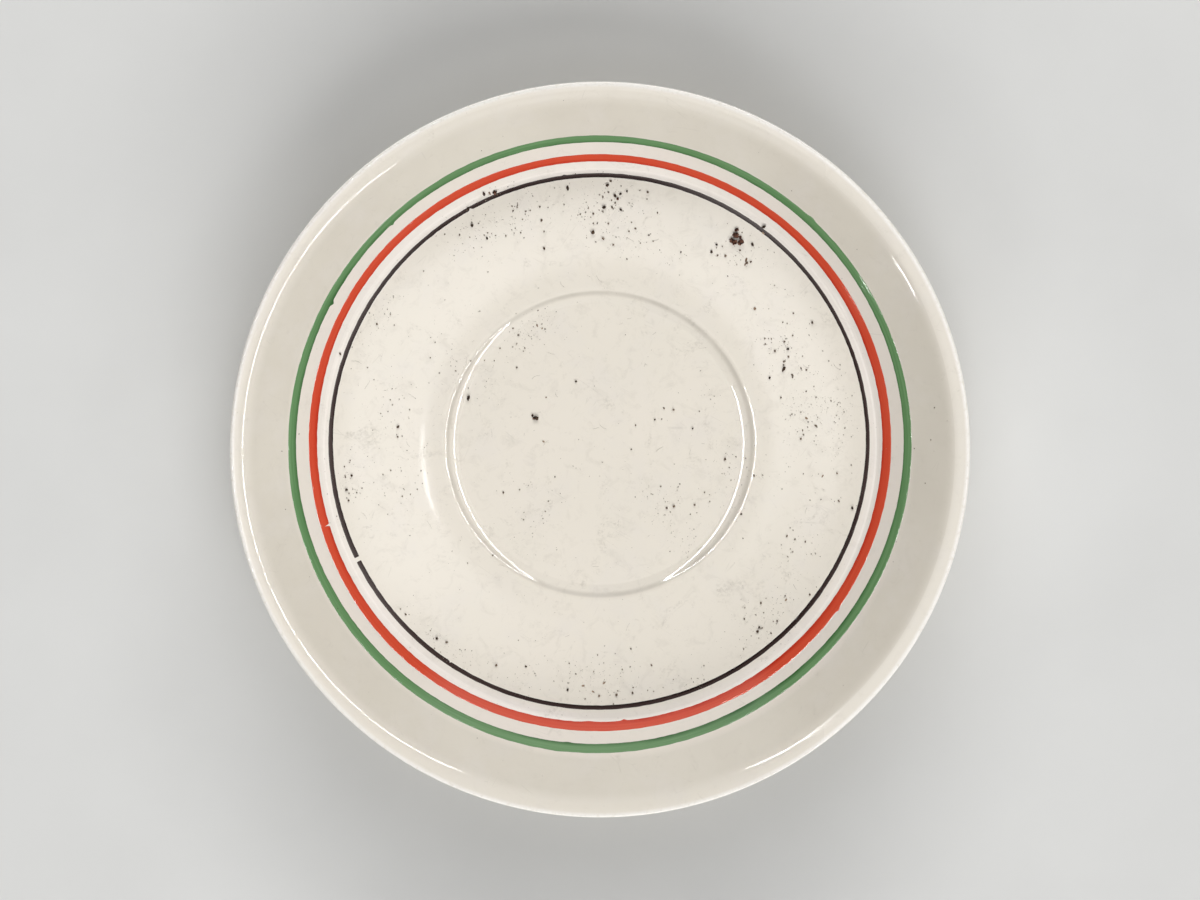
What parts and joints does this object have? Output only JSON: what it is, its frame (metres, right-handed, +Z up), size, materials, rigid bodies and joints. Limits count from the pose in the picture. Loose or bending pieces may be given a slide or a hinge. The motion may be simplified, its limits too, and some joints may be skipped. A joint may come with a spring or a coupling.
{
  "type": "dirty saucer",
  "caption": "Round shallow glazed saucer with a cup well, a foot ring and three painted bands, dusted with dark crumbs.",
  "frame": {"origin": "centre of the saucer, on the surface its foot ring stands on", "axes": "+Z up along the axis of the saucer, +Y towards the side that is at the top of the picture"},
  "size_m": [0.15, 0.15, 0.0188],
  "materials": {
    "glaze": "glossy cream glaze, worn and lightly soiled",
    "green_paint": "hand-painted green band under glossy glaze",
    "red_paint": "hand-painted orange-red band under glossy glaze",
    "black_paint": "hand-painted thin brown-black line under glossy glaze",
    "dark_crumb": "matt near-black crumb and grounds",
    "brown_crumb": "matt reddish-brown crumb",
    "dust": "matt fine grey-brown dust and fibres"
  },
  "bodies": {
    "root": {"saucer": "glaze"}
  },
  "joints": []
}
